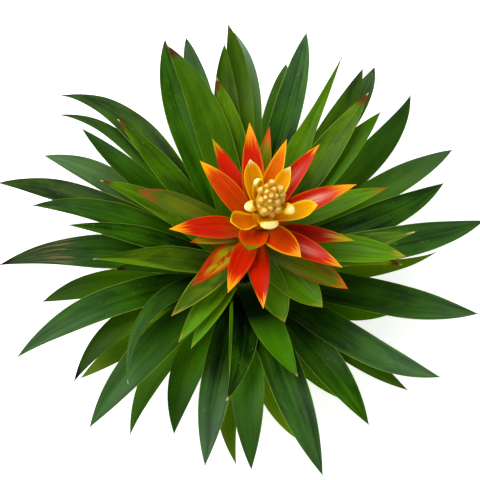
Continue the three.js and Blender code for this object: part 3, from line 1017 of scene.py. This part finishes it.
def add_bud(piece, shape, body, tip, low, crown):
    """Adds a floret or hood. crown gives how near the colour of the tip each point is."""
    points, faces, _ = shape
    piece.add(
        points,
        faces,
        along=crown,
        grain=np.array(points) * MM,
        **even(
            len(points),
            across=0,
            body_colour=body,
            tip_colour=tip,
            rim_colour=low,
            tip_length=1,
            rim=1,
            mottle=0,
            gleam=0,
        ),
    )


def bracts_on_core(rings, colour, rows, shape, chance):
    """A piece with a stretch of the stalk and the bracts that stand on it."""
    piece = Piece()
    add_core(piece, rings, colour)
    add_bracts(piece, rows, shape, chance)
    return piece


def build_head():
    """The stalk, the bracts and the buds, one piece to each node."""
    chance = random.Random(HEAD_SEED)
    green = bracts_on_core(STALK_RINGS, "leaf", GREEN_BRACTS, CUPPED, chance)
    wax = bract_material("green_bract", foot="moss", streaking=0.8, roughness=0.34, glow=0.1)
    green.build("stalk_and_green_bracts", wax, "stalk", "flower_stalk")

    red = bracts_on_core(RED_RINGS, "scarlet", RED_BRACTS, POINTED, chance)
    wax = bract_material("red_bract", foot="umber", streaking=0.8, roughness=0.26, glow=0.25)
    red.build("red_bract_blades", wax, "red_bract", "red_bracts")

    yellow = bracts_on_core(YELLOW_RINGS, "gold", YELLOW_BRACTS, ROUNDED, chance)
    wax = bract_material("yellow_bract", foot="copper", streaking=0.4, roughness=0.32, glow=0.6)
    yellow.build("yellow_bract_blades", wax, "yellow_bract", "yellow_bracts")

    cream = bracts_on_core(FLOWER_RINGS, "honey", CREAM_BRACTS, ROUNDED, chance)
    bract_faces = len(cream.faces)
    for row in FLORETS:
        shape = floret_shape(row, chance)
        polar = shape[2][:, 0]
        dimple = np.exp(-(polar / DIMPLE_ANGLE) ** 2)
        crown = 1 - 0.95 * smooth(0.1, 0.9, polar) - 0.25 * dimple
        add_bud(cream, shape, "ochre", "tan", "ochre", crown)
    for row in HOODS:
        shape = hood_shape(row)
        polar, turn = shape[2].T
        outward = np.sin(polar) * np.cos(turn)
        crown = 0.34 + 0.5 * outward + 0.3 * np.cos(polar) - 0.9 * hollow(polar, turn)
        add_bud(cream, shape, "honey", "cream", "gold", crown)
    wax = bract_material("cream_bract", foot="ochre", streaking=0.4, roughness=0.4, glow=0.4)
    cluster = cream.build("bud_cluster", wax, "bud", "flower_cluster")
    cluster.data.materials.append(bud_material())
    for polygon in cluster.data.polygons[bract_faces:]:
        polygon.material_index = 1


def build_stem():
    """The cut stem, with the scars of old leaves round it."""
    heights = np.linspace(STEM_FOOT, STEM_TOP, STEM_ROWS)
    radii = np.linspace(STEM_RADIUS, STEM_TOP_RADIUS, STEM_ROWS)
    rings = STEM_CUT + list(zip(radii, heights)) + STEM_CAP

    def point(k, turn):
        r, z = rings[k]
        if r > 1:
            r -= SCAR_DEPTH
        if SCARS_START < z < SCARS_END:
            # A scar every 3 mm, wavy three times round.
            r += SCAR_DEPTH * math.sin(z * 2.1 + 2 * math.sin(turn * 3))
        return (r * math.cos(turn), r * math.sin(turn), z)

    points, faces = make_tube(len(rings), STEM_SIDES, point)
    cut = [1.0 if z == 0 else 0.0 for _, z in rings for _ in range(STEM_SIDES)]
    piece = Piece()
    piece.add(points, faces, grain=np.array(points) * MM, cut=cut)
    piece.build("cut_stem", stem_material(), "stem", "stem_base")


def build_floor():
    """A plain pale floor, which is no part of the plant."""
    mesh = bpy.data.meshes.new("floor")
    corners = [(-1, -1), (1, -1), (1, 1), (-1, 1)]
    points = [(x * FLOOR_HALF_SIZE, y * FLOOR_HALF_SIZE, 0) for x, y in corners]
    mesh.from_pydata(points, [], [(0, 1, 2, 3)])
    m = Nodes("pale_floor")
    m.set(
        Base_Color=(0.9, 0.9, 0.9, 1),
        Roughness=0.9,
        Specular_IOR_Level=0.1,
        Emission_Color=(1, 1, 1, 1),
        Emission_Strength=FLOOR_GLOW,
    )
    mesh.materials.append(m.material)
    floor = add_object("floor", mesh)
    floor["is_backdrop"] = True


def add_camera():
    """The photo's view of the plant."""
    data = bpy.data.cameras.new("camera")
    data.sensor_width = SENSOR_WIDTH
    data.lens = SENSOR_WIDTH * CAMERA_DISTANCE / FRAME_AT_TARGET
    camera = add_object("camera", data)
    elevation = math.radians(CAMERA_ELEVATION)
    back = Vector((0, -math.cos(elevation), math.sin(elevation)))
    camera.location = AXIS + Vector(CAMERA_TARGET) + back * CAMERA_DISTANCE
    camera.rotation_euler = back.to_track_quat("Z", "Y").to_euler()
    bpy.context.scene.camera = camera


def add_key_light():
    """The soft light from the upper left and behind."""
    data = bpy.data.lights.new("key", "AREA")
    data.size = KEY_SIZE
    data.energy = KEY_POWER
    light = add_object("key", data)
    direction = Vector(KEY_TOWARDS).normalized()
    light.location = AXIS + Vector(KEY_AIM) + direction * KEY_DISTANCE
    light.rotation_euler = direction.to_track_quat("Z", "Y").to_euler()


def add_world():
    """A ring of soft light above the plant, dark overhead, over a pale horizon."""
    world = bpy.data.worlds.new("studio")
    bpy.context.scene.world = world
    world.use_nodes = True
    tree = world.node_tree
    direction = tree.nodes.new("ShaderNodeTexCoord").outputs["Generated"]

    parts = tree.nodes.new("ShaderNodeSeparateXYZ")
    tree.links.new(direction, parts.inputs[0])
    horizon = tree.nodes.new("ShaderNodeMapRange")
    tree.links.new(parts.outputs["Z"], horizon.inputs["Value"])
    horizon.inputs["From Min"].default_value = HORIZON_TOP
    horizon.inputs["From Max"].default_value = HORIZON_FADED
    horizon.inputs["To Min"].default_value = 1 / RING_STRENGTH
    horizon.inputs["To Max"].default_value = 0

    nearness = tree.nodes.new("ShaderNodeVectorMath")
    nearness.operation = "DOT_PRODUCT"
    tree.links.new(direction, nearness.inputs[0])
    nearness.inputs[1].default_value = RING_MIDDLE
    ramp = tree.nodes.new("ShaderNodeValToRGB")
    tree.links.new(nearness.outputs["Value"], ramp.inputs[0])
    elements = ramp.color_ramp.elements
    while len(elements) < len(RING_LEVELS):
        elements.new(0.5)
    for element, (place, level) in zip(elements, RING_LEVELS):
        element.position = place
        element.color = (level, level, level, 1)

    lightest = tree.nodes.new("ShaderNodeVectorMath")
    lightest.operation = "MAXIMUM"
    tree.links.new(ramp.outputs[0], lightest.inputs[0])
    tree.links.new(horizon.outputs[0], lightest.inputs[1])
    background = tree.nodes["Background"]
    tree.links.new(lightest.outputs[0], background.inputs["Color"])
    background.inputs["Strength"].default_value = RING_STRENGTH


build_leaves()
build_head()
build_stem()
build_floor()
add_camera()
add_world()
add_key_light()
bpy.context.scene.view_settings.view_transform = "Standard"

sizes = {"cad": cad_bounds, "visual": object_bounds()}
{key: [list(corner) for corner in box] for key, box in sizes.items()}
